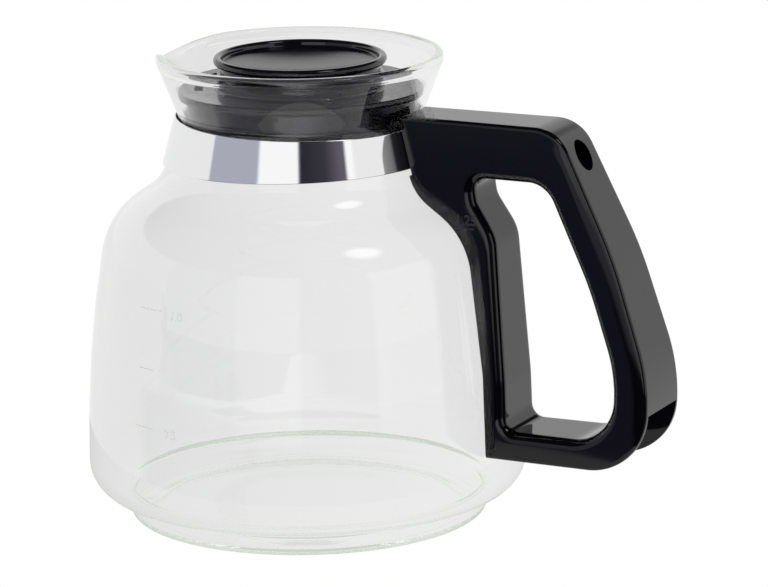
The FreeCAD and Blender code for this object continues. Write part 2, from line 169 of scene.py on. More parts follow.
# Colours at degrees round from the camera, towards its right
STUDIO = [
    (-180.0, FLAT_WALL), (-84.4, FLAT_WALL), (-83.6, VIOLET_PANEL), (-38.4, VIOLET_PANEL),
    (-37.6, grey(1.06)), (-3.4, grey(1.06)),
    (-2.6, (0.022, 0.020, 0.030, 1)), (20.0, (0.045, 0.042, 0.055, 1)), (34.0, (0.13, 0.12, 0.15, 1)),
    (37.6, (0.10, 0.10, 0.12, 1)), (38.4, grey(1.08)), (44.6, grey(1.08)), (45.4, grey(0.93)),
    (180.0, FLAT_WALL),
]
UNDER = [
    (-180.0, FLAT_WALL), (-100.0, FLAT_WALL), (-92.0, VIOLET_FLOOR), (-50.0, VIOLET_FLOOR),
    (-46.0, DARK_FLOOR), (38.0, DARK_FLOOR), (60.0, grey(0.3)), (100.0, FLAT_WALL), (180.0, FLAT_WALL),
]


def ramp(n, angle, stops):
    """Colours at angles in degrees from -180 to 180."""
    share = n.math("MULTIPLY_ADD", angle, 1 / 360, 0.5)
    node = n.add("ValToRGB", {"Fac": share})
    elements = node.color_ramp.elements
    while len(elements) > 1:
        elements.remove(elements[-1])
    elements[0].position = 0.0
    elements[0].color = stops[0][1]
    for place, colour in stops[1:]:
        element = elements.new(place / 360 + 0.5)
        element.color = colour
    return node.outputs["Color"]


def studio_world():
    """White to the camera, even light on rough surfaces, and a room of panels to reflections."""
    world = bpy.data.worlds.new("studio")
    bpy.context.scene.world = world
    world.use_nodes = True
    n = Nodes(world.node_tree)
    way = n.add("TexCoord").outputs["Generated"]
    turn = n.math("ARCTAN2", n.dot(way, TO_RIGHT), n.dot(way, TO_CAMERA))
    turn = n.math("MULTIPLY", turn, 180 / math.pi)
    rise = n.math("MULTIPLY", n.math("ARCSINE", n.dot(way, (0, 0, 1))), 180 / math.pi)
    above = n.between(rise, WALL_EDGE - EDGE_SOFT, WALL_EDGE + EDGE_SOFT)
    room = n.mix(above, ramp(n, turn, STUDIO), CEILING)
    room = n.mix(n.between(rise, *FLOOR_EDGE), room, ramp(n, turn, UNDER))
    lamp_turn = math.radians(LAMP_ROUND)
    lamp_rise = math.radians(LAMP_RISE)
    lamp_way = TO_CAMERA * math.cos(lamp_turn) + TO_RIGHT * math.sin(lamp_turn)
    lamp_way = lamp_way * math.cos(lamp_rise) + Vector((0, 0, math.sin(lamp_rise)))
    ends = [math.cos(math.radians(a)) for a in LAMP_SOFT]
    room = n.mix(n.between(n.dot(way, lamp_way), *ends), room, LAMP)
    path = n.add("LightPath")
    seen = n.mix(path.outputs["Is Transmission Ray"], room, grey(THROUGH_RIGHT))
    seen = n.mix(path.outputs["Is Diffuse Ray"], seen, grey(TO_ROUGH))
    seen = n.mix(path.outputs["Is Camera Ray"], seen, grey(1.0))
    shine = n.add("Background", {"Color": seen, "Strength": 1.0})
    n.add("OutputWorld", {"Surface": shine.outputs[0]})


def painted_floor_through_glass(n):
    """The floor for light that has passed glass, with painted light and shade: paler to the right, a painted
    bright ring in front that darkens to the right, and a painted dark patch far off to the left.
    """
    place = n.add("TexCoord").outputs["Object"]
    right = n.dot(place, TO_RIGHT)
    nearer = n.dot(place, TO_CAMERA)
    reach = n.add("VectorMath", {0: place}, operation="LENGTH").outputs["Value"]
    # painted shade: the floor behind is darker to the left, paler to the right
    behind = n.mix(n.between(right, -0.09, 0.035), grey(THROUGH_LEFT), grey(THROUGH_RIGHT))
    # painted light: a bright pool in front that darkens to the right and stays pale far to the left
    front = n.mix(n.between(right, 0.02, 0.40), grey(1.7, 1.04), grey(0.5, 1.1))
    front = n.mix(n.between(right, -0.30, -0.60), front, grey(1.1, 1.05))
    # painted shade: a dark patch far off to the left
    beyond = n.math("MULTIPLY", n.between(reach, 0.55, 0.585), n.between(right, -0.30, -0.38))
    front = n.mix(beyond, front, grey(0.08))
    # the painted pool and dark patch are laid in a ring in front
    ring = n.math("MULTIPLY", n.between(nearer, 0.12, 0.26), n.between(reach, 0.36, 0.44))
    return n.mix(ring, behind, front)


def stage_disc(name, radius, z, hidden_from_gloss, strength):
    """A round piece of white floor that glows evenly: white to the camera, at strength to other rays, and
    with painted light and shade where it is seen through glass.
    """
    bpy.ops.mesh.primitive_circle_add(vertices=128, radius=radius, fill_type="NGON",
                                      location=(0, 0, z))
    disc = bpy.context.object
    disc.name = name
    mat = bpy.data.materials.new(name)
    mat.use_nodes = True
    n = Nodes(mat.node_tree)
    path = n.add("LightPath")
    seen = n.mix(path.outputs["Is Transmission Ray"], grey(strength), painted_floor_through_glass(n))
    seen = n.mix(path.outputs["Is Camera Ray"], seen, grey(1.0))
    glow = n.add("Emission", {"Color": seen})
    n.add("OutputMaterial", {"Surface": glow.outputs[0]})
    disc.data.materials.append(mat)
    disc.visible_glossy = not hidden_from_gloss
    disc.visible_shadow = False


studio_world()
stage_disc("floor", 6.0, -0.0008, True, 1.0)
stage_disc("floor_near", 0.148, -0.0004, False, 0.62)


# ---------------------------------------------------------------- materials

def material(name, build):
    mat = bpy.data.materials.new(name)
    mat.use_nodes = True
    n = Nodes(mat.node_tree)
    build(n)
    return mat


def principled(n, normal=None, volume=None, **values):
    inputs = {key.replace("_", " "): value for key, value in values.items()}
    if normal is not None:
        inputs["Normal"] = normal
    shader = n.add("BsdfPrincipled", inputs)
    outputs = {"Surface": shader.outputs[0]}
    if volume is not None:
        outputs["Volume"] = volume
    n.add("OutputMaterial", outputs)


LAST_TURNS = 2.5
CAUGHT_GLOW = 0.17


def clear_glass(n):
    """Glass with a small glow in place of light that is still caught in the wall on its last turns."""
    ripple = n.noise(26.0, 1.0, stretch=(1, 1, 2.4))
    turns = n.add("LightPath").outputs["Ray Depth"]
    caught = n.math("GREATER_THAN", turns, LIGHT_TURNS - LAST_TURNS)
    left = n.math("MULTIPLY", caught, CAUGHT_GLOW)
    body = n.add("VolumeAbsorption", {"Color": (0.82, 0.93, 0.76, 1), "Density": 5.0})
    principled(n, normal=n.bump(ripple, 0.00004, 0.3), volume=body.outputs[0],
               Base_Color=(1, 1, 1, 1), Roughness=0.0, IOR=1.474, Transmission_Weight=1.0,
               Emission_Color=(0.97, 1.0, 0.98, 1), Emission_Strength=left)


def polished_steel(n):
    streaks = n.noise(90.0, 3.0, stretch=(1, 1, 14))
    principled(n, normal=n.bump(n.noise(60.0, 2.0), 0.00002, 0.4), Base_Color=(0.87, 0.87, 0.88, 1),
               Metallic=1.0, Roughness=n.ranged(streaks, 0.045, 0.075))


def moulded(n, rough, colour):
    """Moulded plastic with a trace of orange peel."""
    peel = n.bump(n.noise(420.0, 1.0), 0.000006, 0.25)
    principled(n, normal=peel, Base_Color=colour, Roughness=rough, IOR=1.5)


def gloss_black(low, high, colour):
    return lambda n: moulded(n, n.ranged(n.noise(70.0, 3.0), low, high), colour)


def zinc_plate(n):
    grain = n.noise(900.0, 4.0)
    tint = n.mix(n.noise(160.0, 2.0), (0.60, 0.61, 0.63, 1), (0.70, 0.69, 0.66, 1))
    principled(n, normal=n.bump(grain, 0.00004, 0.3), Base_Color=tint, Metallic=1.0,
               Roughness=n.ranged(grain, 0.24, 0.42))


def silicone(n):
    grain = n.noise(700.0, 4.0)
    principled(n, normal=n.bump(grain, 0.00005, 0.4), Base_Color=(0.035, 0.035, 0.038, 1),
               Roughness=0.6)


def frosted(n):
    """Fired-on print that is only a little whiter than the glass."""
    grain = n.noise(900.0, 3.0)
    principled(n, Base_Color=(0.86, 0.88, 0.88, 1), Roughness=n.ranged(grain, 0.35, 0.5), IOR=1.05,
               Transmission_Weight=0.85)


def dish_black(n):
    """Gloss on the rolled rim and the barrel, satin inside the dish."""
    place = n.add("SeparateXYZ", {"Vector": n.add("TexCoord").outputs["Object"]}).outputs
    squares = [n.math("POWER", place[axis], 2.0) for axis in "XY"]
    inside = n.between(n.math("SQRT", n.math("ADD", *squares)), 0.0245, 0.0238)
    satin = n.ranged(n.noise(1400.0, 3.0), 0.15, 0.20)
    gloss = n.ranged(n.noise(70.0, 3.0), 0.05, 0.08)
    rough = n.add("Mix", {0: inside, 2: gloss, 3: satin}, data_type="FLOAT").outputs[0]
    moulded(n, rough, (0.0035, 0.0034, 0.0050, 1))


GLASS = material("clear_glass", clear_glass)
STEEL = material("polished_steel", polished_steel)
HANDLE_BLACK = material("handle_black", gloss_black(0.045, 0.075, (0.0012, 0.0010, 0.0018, 1)))
LID_BLACK = material("lid_black", gloss_black(0.06, 0.10, (0.012, 0.0105, 0.0145, 1)))
KNOB_BLACK = material("knob_black", dish_black)
ZINC = material("zinc_plate", zinc_plate)
RUBBER = material("silicone_black", silicone)
MARK = material("frosted_mark", frosted)
RAISED_BLACK = material("raised_black", gloss_black(0.32, 0.42, (0.024, 0.022, 0.030, 1)))


# ---------------------------------------------------------------- outlines

def rounded(corners, step=6.0, closed=False):
    """Points along straight runs between corners (across, up, radius), with each corner's arc put in."""
    if closed:
        corners = [corners[-1]] + list(corners) + [corners[0]]
    points = [] if closed else [Vector(corners[0][:2])]
    for before, corner, after in zip(corners, corners[1:], corners[2:]):
        here = Vector(corner[:2])
        back = (Vector(before[:2]) - here).normalized()
        ahead = (Vector(after[:2]) - here).normalized()
        half = back.angle(ahead) / 2
        radius = corner[2]
        if radius <= 0 or abs(half - math.pi / 2) < 1e-6:
            points.append(here)
            continue
        reach = radius / math.tan(half)
        centre = here + (back + ahead).normalized() * (radius / math.sin(half))
        start = here + back * reach - centre
        sweep = math.pi - 2 * half
        side = math.copysign(1, start.y * back.x - start.x * back.y)
        count = max(1, math.ceil(math.degrees(sweep) / step))
        for i in range(count + 1):
            a = side * sweep * i / count
            points.append(centre + Vector((start.x * math.cos(a) - start.y * math.sin(a),
                                           start.x * math.sin(a) + start.y * math.cos(a))))
    if not closed:
        points.append(Vector(corners[-1][:2]))
    return points


def inset(corners, gap):
    """An open outline moved by gap to the left of its direction. Arcs keep their centres."""
    runs = [(Vector(b[:2]) - Vector(a[:2])).normalized() for a, b in zip(corners, corners[1:])]
    moved = []
    for i, corner in enumerate(corners):
        before = runs[max(i - 1, 0)]
        after = runs[min(i, len(runs) - 1)]
        normal = Vector((-before.y, before.x))
        both = normal + Vector((-after.y, after.x))
        place = Vector(corner[:2]) + both * (gap / both.dot(normal))
        left_turn = before.x * after.y - before.y * after.x
        radius = max(corner[2] - gap * math.copysign(1, left_turn), 0) if corner[2] else 0
        moved.append((place.x, place.y, radius))
    return moved


def divided(points, longest):
    """The same points, with long runs cut into even steps."""
    out = [points[0]]
    for a, b in zip(points, points[1:]):
        count = max(1, math.ceil((b - a).length / longest))
        out += [a.lerp(b, i / count) for i in range(1, count + 1)]
    return out


def new_object(name, verts, faces, mat, smooth=True):
    mesh = bpy.data.meshes.new(name)
    mesh.from_pydata([Vector(v) * MM for v in verts], [], faces)
    mesh.validate()
    mesh.update()
    mesh.materials.append(mat)
    if smooth:
        mesh.polygons.foreach_set("use_smooth", [True] * len(mesh.polygons))
    obj = bpy.data.objects.new(name, mesh)
    bpy.context.scene.collection.objects.link(obj)
    return obj


def lathed(name, profile, angles, mat, shape=None):
    """A closed surface turned from a half section that starts and ends on the axis."""
    shape = shape or (lambda r, z, a: (r, z))
    ring = profile[1:-1]
    verts = [(0, 0, profile[0].y)]
    for p in ring:
        for a in angles:
            r, z = shape(p.x, p.y, a)
            verts.append((r * math.cos(a), r * math.sin(a), z))
    verts.append((0, 0, profile[-1].y))
    count = len(angles)
    last = len(verts) - 1
    faces = []
    for i in range(count):
        j = (i + 1) % count
        faces.append((0, 1 + j, 1 + i))
        top = 1 + (len(ring) - 1) * count
        faces.append((last, top + i, top + j))
        for k in range(len(ring) - 1):
            low = 1 + k * count
            faces.append((low + i, low + j, low + count + j, low + count + i))
    return new_object(name, verts, faces, mat)


# ---------------------------------------------------------------- glass

GLASS_WALL = 2.1
BELLY_R = 70.0
FOOT_SIDE_R = 57.5
NECK_LOW = (44.5, 108.4)
NECK_TOP = (38.9, 129.6)
RIM_R = 45.2
RIM_ROUND = 1.4
BEAD_W = 3.0                  # the thicker ring inside the rim
BEAD_H = 3.6
RIM_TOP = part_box("glass_jug")[1][2] / MM
MOUTH_START = 133.0
SPOUT_HALF = math.radians(33.0)
SPOUT_REACH = 8.0
SPOUT_DROP = 6.4
SPOUT_SOFT = math.radians(1.9)


def spout(angle):
    """How far the rim is drawn into the spout: 0 away from it, near 1 at its point."""
    off = math.hypot(math.remainder(angle - math.pi, 2 * math.pi), SPOUT_SOFT)
    if off >= SPOUT_HALF:
        return 0.0
    return (1 / math.cos(SPOUT_HALF - off) - 1) / (1 / math.cos(SPOUT_HALF) - 1)


def blown(r, z, angle):
    """A turned point moved to where the spout is drawn out and down."""
    rise = max(z - MOUTH_START, 0) / (RIM_TOP - MOUTH_START)
    pull = spout(angle) * rise ** 2
    return r + SPOUT_REACH * pull, z - SPOUT_DROP * pull


def glass_angles():
    """Round the jug, closer together at the spout."""
    fine = [math.radians(170 + 0.5 * i) for i in range(40)]
    coarse = [math.radians(-170 + i) for i in range(340)]
    return coarse + fine


def glass_outline():
    """Outer corners from the middle of the floor, under the foot, up the belly and neck to the rim."""
    foot = [(0, 1.5, 0), (46.0, 1.5, 9.0), (50.5, 0, 3.0), (57.0, 0, 2.6), (57.6, 7.5, 1.0)]
    belly = [(BELLY_R, 7.5, 10.9), (BELLY_R, 52.9, 375.0), (62.2, 96.3, 24.0)]
    neck = [NECK_LOW + (16.0,), NECK_TOP + (4.0,)]
    return foot + belly + neck + [(RIM_R, RIM_TOP - 2.6, 3.0), (RIM_R, RIM_TOP, RIM_ROUND)]


def glass_jug():
    """The blown glass, with an even wall and a bead inside the rim."""
    outer = glass_outline()
    inner = inset(outer, GLASS_WALL)[:-2]
    inner[0] = (0, inner[0][1], 0)
    bead_r = RIM_R - BEAD_W
    over = [(bead_r, RIM_TOP, RIM_ROUND), (bead_r, RIM_TOP - BEAD_H, 2.0)]
    profile = rounded(outer + over + inner[::-1], 3.0)
    profile = divided(profile, 3.0)
    obj = lathed("glass_blown", profile, glass_angles(), GLASS, blown)
    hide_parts("glass_jug")
    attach(obj, "jug")


glass_jug()


# ---------------------------------------------------------------- litre marks

def lettering(name, text, size, depth, bevel=0.0):
    """Generic figures as a thin mesh in millimetres, upright in the XY plane, centred."""
    curve = bpy.data.curves.new(name, "FONT")
    curve.body = text
    curve.size = size
    curve.extrude = depth
    curve.bevel_depth = bevel
    curve.bevel_resolution = 2
    curve.offset = -bevel / 2
    curve.align_x = "CENTER"
    curve.align_y = "CENTER"
    curve.resolution_u = 3
    holder = bpy.data.objects.new(name + "_curve", curve)
    bpy.context.scene.collection.objects.link(holder)
    bpy.context.view_layer.update()
    solid = holder.evaluated_get(bpy.context.evaluated_depsgraph_get())
    mesh = bpy.data.meshes.new_from_object(solid)
    verts = [v.co.copy() for v in mesh.vertices]
    faces = [tuple(f.vertices) for f in mesh.polygons]
    bpy.data.objects.remove(holder, do_unlink=True)
    return verts, faces


def dash(width, height, depth, rise):
    """A short line, cut along its length so that it can follow the glass."""
    steps = 12
    half = height / 2
    section = [(-half, -depth), (half, -depth), (half, 0), (half / 2, depth), (-half / 2, depth),
               (-half, 0)]
    count = len(section)
    verts = []
    for i in range(steps + 1):
        verts += [Vector((width * (i / steps - 0.5), rise + up, out)) for up, out in section]
    faces = [tuple(range(count)), tuple(range(count * (steps + 1) - 1, count * steps - 1, -1))]
    for i in range(steps):
        for k in range(count):
            a = count * i + k
            b = count * i + (k + 1) % count
            faces.append((a, a + count, b + count, b))
    return verts, faces


def joined(*parts):
    """Several (points, faces) meshes as one."""
    verts = []
    faces = []
    for more_verts, more_faces in parts:
        faces += [tuple(i + len(verts) for i in face) for face in more_faces]
        verts += more_verts
    return verts, faces


def glass_radius(z):
    """The belly's outer radius at height z."""
    line = rounded(glass_outline(), 2.0)
    for a, b in zip(line, line[1:]):
        if a.y <= z <= b.y and b.y > a.y and a.x > FOOT_SIDE_R:
            return a.x + (b.x - a.x) * (z - a.y) / (b.y - a.y)
    return BELLY_R


FIGURE_OFF = Vector((11.0, -1.0, 0.0))
PRINT_LINE = 0.4
PRINT_SIZE = 4.0
PRINT_T = 0.03
PRINT_LIFT = 0.035
PRINT_SQUASH = 0.9


def glass_mark(name, text, width, azimuth, height):
    """A dash on the outside of the glass, with its figure to the right of it."""
    flat, faces = dash(width, PRINT_LINE, PRINT_T, 0)
    if text:
        figure, figure_faces = lettering(name, text, PRINT_SIZE, PRINT_T)
        flat, faces = joined((flat, faces), ([v + FIGURE_OFF for v in figure], figure_faces))
    verts = []
    for v in flat:
        z = height + v.y
        r = glass_radius(z) + PRINT_LIFT + v.z * PRINT_SQUASH
        a = azimuth + v.x / r
        verts.append((r * math.cos(a), r * math.sin(a), z))
    obj = new_object(name, verts, faces, MARK, smooth=False)
    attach(obj, "jug")


SCALE_AT = AZIMUTH - math.radians(90 + 47)
SCALE = (("mark_half", "0.5", 9.0, 40.4), ("mark_three_quarters", "", 6.5, 58.8),
         ("mark_one", "1.0", 9.0, 77.3))
for label, words, width, height in SCALE:
    glass_mark(label, words, width, SCALE_AT, height)


# ---------------------------------------------------------------- neck band

BAND_T = 0.5
BAND_STANDOFF = 0.55
BAND_MIDDLE = BAND_STANDOFF + BAND_T / 2
BAND_R = 41.5
BAND_STEPS = 180
BAND_EDGES = ((115.1, 0.027), (128.7, -0.019))
EAR_Y = 5.2
EAR_START = 45.0
EAR_END = 57.0
BEND_AT = math.radians(11.0)
EAR_Z = (118.7, 127.7)


def neck_radius(z):
    share = (z - NECK_LOW[1]) / (NECK_TOP[1] - NECK_LOW[1])
    return NECK_LOW[0] + share * (NECK_TOP[0] - NECK_LOW[0])


def strip_section():
    """Round the strip: which edge (0 low, 1 high), height from it, and offset across the strip."""
    half = BAND_T / 2
    turns = [math.radians(d) for d in range(-90, 91, 15)]
    low = [(0, half - half * math.cos(a), half * math.sin(a)) for a in turns]
    high = [(1, -rise, -off) for _, rise, off in low]
    far = [(0, 0.5, half), (0, 1.2, half), (1, -1.2, half), (1, -0.5, half)]
    near = [(edge, rise, -half) for edge, rise, _ in far[::-1]]
    return low + far + high + near


def on_ring(theta, edge, rise, offset):
    """A point of the strip where it follows the neck."""
    height, tilt = BAND_EDGES[edge]
    z = height + tilt * BAND_R * math.cos(theta) + rise
    r = neck_radius(z) + BAND_MIDDLE + offset
    return Vector((r * math.cos(theta), r * math.sin(theta), z))


def on_ear(x, side, edge, rise, offset):
    """A point of the strip where it runs straight into the handle."""
    return Vector((x, side * (EAR_Y + BAND_T / 2 + offset), EAR_Z[edge] + rise))


def on_bend(share, side, edge, rise, offset):
    """A point of the strip where it turns from the neck into its ear."""
    ear = on_ear(EAR_START, side, edge, rise, offset)
    ring = on_ring(side * BEND_AT, edge, rise, offset)
    r = neck_radius(ring.z) + BAND_MIDDLE + offset * 0.7
    corner = Vector((r, ear.y, (ear.z + ring.z) / 2))
    return ear * (1 - share) ** 2 + corner * 2 * share * (1 - share) + ring * share * share


def neck_band():
    """The polished strip, swept from one ear round the neck to the other."""
    section = strip_section()

    def ear(side):
        straight = [[on_ear(x, side, *p) for p in section] for x in (EAR_END, 52.0, 46.5, EAR_START)]
        return straight + [[on_bend(share, side, *p) for p in section] for share in (0.2, 0.4, 0.6, 0.8)]

    sweep = (2 * math.pi - 2 * BEND_AT) / BAND_STEPS
    ring = [[on_ring(BEND_AT + sweep * i, *p) for p in section] for i in range(BAND_STEPS + 1)]
    loops = ear(1) + ring + ear(-1)[::-1]
    verts = [v for loop in loops for v in loop]
    n = len(section)
    faces = []
    for k in range(len(loops) - 1):
        for i in range(n):
            j = (i + 1) % n
            faces.append((k * n + i, (k + 1) * n + i, (k + 1) * n + j, k * n + j))
    faces.append(tuple(range(n)))
    faces.append(tuple(range(len(verts) - 1, len(verts) - n - 1, -1)))
    obj = new_object("band_strip", verts, faces, STEEL)
    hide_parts("neck_band")
    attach(obj, "jug")


neck_band()


# ---------------------------------------------------------------- handle

WALL = 2.2
START = 20.0
OUT_ROUND = 1.1
IN_ROUND = 3.0
HANDLE_LOW, HANDLE_HIGH = (corner[2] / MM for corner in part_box("handle"))
WEB_END = 45.3
SCREW_Z = 123.2
BULKHEAD = (63.0, 66.0)
ROLL_DEPTH = 0.5
ROLL_WIDTH = 5.6
OUTER = [(START, HANDLE_HIGH, 0), (92.9, HANDLE_HIGH, 13.0), (112.0, 93.6, 120.0), (123.9, 56.7, 60.0),
         (122.6, HANDLE_LOW, 20.0), (START, HANDLE_LOW, 0)]
OPENING = [(63.4, 114.8, 4.0), (88.4, 114.8, 9.5), (103.2, 83.6, 100.0), (111.9, 57.5, 45.0),
           (111.3, 35.4, 14.0), (74.7, 35.4, 4.0), (74.5, 50.0, 60.0), (71.3, 96.6, 14.0), (64.5, 107.0, 6.0)]
RIBS = ((46.0, 73.2), (62.0, 72.6), (78.0, 71.5))
RIB_START = 60.0
RIB_T = 1.6
RIB_OVERLAP = 0.6             # how far ribs and bulkhead reach into the handle's walls
BULKHEAD_Z = (115.2, 131.6)
CORE_R = 2.2
ACCESS_R = 4.6
ACCESS_START = 10.0
FAR = 150.0                   # past the handle's outside
GLASS_GAP = 0.3
BAND_GAP = 1.3
BAND_ROOM = (114.1, 131.7)
CORNER_INSET = 0.8            # last edge loop before a rounded edge
NEAR_STEPS = (0.4, 0.9, 1.5, 2.1, 2.8, 3.5, 4.2, 4.8)
NEAR_RUN = 6.0
NEAR_SHARE = 0.8
FAR_SHARES = (0.3, 0.6, 0.85, 0.95)
SHARP = math.radians(32)


def half_width(p):
    """Half the handle's width at a point of its side outline: less towards its top, more outwards."""
    return 11.2 + 0.0198 * (p.x - 68.6) - 0.0311 * (p.y - 73.2)


def corner_arc(corners, i):
    """The points of corner i's arc alone, with its neighbours' straight runs left out."""
    around = [corners[i - 1], corners[i], corners[(i + 1) % len(corners)]]
    return rounded(around, 2.0)[1:-1]


def even(points, count):
    """count points at even steps along a line, its last one left out."""
    lengths = [0.0]
    for a, b in zip(points, points[1:]):
        lengths.append(lengths[-1] + (b - a).length)
    out = []
    k = 0
    for i in range(count):
        want = lengths[-1] * i / count
        while lengths[k + 1] < want:
            k += 1
        share = (want - lengths[k]) / max(lengths[k + 1] - lengths[k], 1e-9)
        out.append(points[k].lerp(points[k + 1], share))
    return out


def handle_loops():
    """Matching points round the outside and the opening, and how much the flat side rolls off."""
    a = [None] + [corner_arc(OUTER, i) for i in range(1, 5)]
    b = [corner_arc(OPENING, i) for i in range(9)]
    mid = len(b[0]) // 2
    mid5 = len(b[5]) // 2
    first = Vector(OUTER[0][:2])
    last = Vector(OUTER[5][:2])
    pairs = [
        ([first, a[1][0]], b[0][mid:] + [b[1][0]], 26),
        (a[1], b[1], 18),
        ([a[1][-1]] + a[2] + a[3] + [a[4][0]], [b[1][-1]] + b[2] + b[3] + [b[4][0]], 56),
        (a[4], b[4], 28),
        ([a[4][-1], last], [b[4][-1]] + b[5][:mid5 + 1], 30),
        ([last, first], b[5][mid5:] + b[6] + b[7] + b[8] + b[0][:mid + 1], 72),
    ]
    outside = []
    inside = []
    roll = []
    for k, (out_line, in_line, count) in enumerate(pairs):
        outside += even(out_line, count)
        inside += even(in_line, count)
        for i in range(count):
            share = i / count
            roll.append((0, smooth(share * 2 - 1), 1, smooth(1 - share * 2.2), 0, 0)[k])
    return outside, inside, roll


def smooth(t):
    t = min(max(t, 0.0), 1.0)
    return t * t * (3 - 2 * t)


def normals(loop):
    """Unit normals to the left of the loop's direction."""
    out = []
    for i in range(len(loop)):
        way = (loop[(i + 1) % len(loop)] - loop[i - 1]).normalized()
        out.append(Vector((-way.y, way.x)))
    return out


def handle_blank():
    """The outside skin of the handle, with its opening, before it is hollowed."""
    outside, inside, roll = handle_loops()
    rings = []
    turned = zip(outside, inside, normals(outside), normals(inside), roll)
    for p, q, n_out, n_left, amount in turned:
        n_in = -n_left
        c_out = p - n_out * OUT_ROUND
        c_in = q - n_in * IN_ROUND

        def drop(point):
            near = min((point - p).length / ROLL_WIDTH, 1.0)
            return amount * ROLL_DEPTH * (1 - near) ** 2

        edge = half_width(c_out) - OUT_ROUND - drop(c_out)
        half = [(p, 0.0), (p, edge * 0.5), (p, edge - CORNER_INSET)]
        for d in range(0, 91, 15):
            turn = math.radians(d)
            at = c_out + n_out * OUT_ROUND * math.cos(turn)
            half.append((at, edge + OUT_ROUND * math.sin(turn)))
        run = (c_in - c_out).length
        ahead = (c_in - c_out) / run
        flat = [c_out + ahead * min(s, run * s / NEAR_RUN) for s in NEAR_STEPS]
        start = c_out + ahead * min(NEAR_STEPS[-1], run * NEAR_SHARE)
        flat += [start.lerp(c_in, share) for share in FAR_SHARES]
        half += [(at, half_width(at) - drop(at)) for at in flat]
        wall = half_width(c_in) - IN_ROUND
        for d in range(90, -1, -10):
            turn = math.radians(d)
            at = c_in + n_in * IN_ROUND * math.cos(turn)
            half.append((at, wall + IN_ROUND * math.sin(turn)))
        half += [(q, wall - CORNER_INSET), (q, wall * 0.5), (q, 0.0)]
        back = [(at.x, -y, at.y) for at, y in half[-2:0:-1]]
        rings.append([(at.x, y, at.y) for at, y in half] + back)
    n = len(rings[0])
    verts = [v for ring in rings for v in ring]
    count = len(rings)
    faces = []
    for k in range(count):
        m = (k + 1) % count
        for i in range(n):
            j = (i + 1) % n
            faces.append((k * n + i, k * n + j, m * n + j, m * n + i))
    return new_object("handle_moulding", verts, faces, HANDLE_BLACK)


def prism(name, outline, thinner):
    """A side outline made solid between the handle's flat sides, each moved in by thinner."""
    n = len(outline)
    verts = []
    for side in (-1, 1):
        verts += [(p.x, side * (half_width(p) - thinner), p.y) for p in outline]
    faces = [tuple(range(n)), tuple(range(2 * n - 1, n - 1, -1))]
    faces += [(i, i + n, (i + 1) % n + n, (i + 1) % n) for i in range(n)]
    obj = new_object(name, verts, faces, HANDLE_BLACK, smooth=False)
    outward(obj)
    return obj


def outward(obj):
    """Turns every face of a closed mesh outwards."""
    bm = bmesh.new()
    bm.from_mesh(obj.data)
    bmesh.ops.recalc_face_normals(bm, faces=bm.faces[:])
    bm.to_mesh(obj.data)
    bm.free()


def carve(target, tool, operation="DIFFERENCE"):
    """Cuts one closed mesh by another, which is then gone."""
    cut = target.modifiers.new("cut", "BOOLEAN")
    cut.operation = operation
    cut.solver = "EXACT"
    cut.object = tool
    bpy.context.view_layer.objects.active = target
    bpy.ops.object.modifier_apply(modifier=cut.name)
    bpy.data.objects.remove(tool, do_unlink=True)


def bar(radius, x0, x1):
    """A round bar along X through the clamp screw's axis."""
    bpy.ops.mesh.primitive_cylinder_add(vertices=96, radius=radius * MM, depth=(x1 - x0) * MM,
                                        location=((x0 + x1) / 2 * MM, 0, SCREW_Z * MM),
                                        rotation=(0, math.pi / 2, 0))
    tool = bpy.context.object
    bpy.ops.object.transform_apply(location=True, rotation=True, scale=True)
    return tool


def hollow():
    """The room inside the handle: its outline less the wall, without the wall round the opening."""
    inner = rounded(inset(OUTER, -WALL), 4.0)
    above = [p for p in inner if p.y > WEB_END]
    low = [p for p in inner if p.y <= WEB_END and p.x > 100]
    share = (above[-1].y - WEB_END) / (above[-1].y - low[0].y)
    end = above[-1].lerp(low[0], share)
    outline = above + [end] + [Vector(c) for c in ((FAR, WEB_END), (FAR, 10), (10, 10), (10, above[0].y))]
    room = prism("hollow", outline, WALL)
    around = rounded(inset(OPENING + OPENING[:2], WALL)[1:-1], 4.0, closed=True)
    carve(room, prism("grip_wall", around, -5.0))
    return room


def glass_room(gap):
    """The glass, solid and gap larger, which the handle is cut by."""
    outer = inset(glass_outline(), -gap)
    profile = rounded([(0, outer[0][1], 0)] + outer[1:] + [(0, outer[-1][1], 0)], 6.0)
    return lathed("glass_room", profile, [2 * math.pi * i / 192 for i in range(192)], HANDLE_BLACK)


def band_room(gap):
    """The room in the handle's head for the band."""
    low, high = BAND_ROOM
    side = [Vector((neck_radius(z) + gap, z)) for z in (low, high)]
    profile = [Vector((0, low))] + side + [Vector((0, high))]
    return lathed("band_room", profile, [2 * math.pi * i / 192 for i in range(192)], HANDLE_BLACK)


def web(name, x0, x1, z0, z1):
    """A wall across the inside of the handle."""
    return prism(name, [Vector(c) for c in ((x0, z0), (x0, z1), (x1, z1), (x1, z0))], WALL - RIB_OVERLAP)


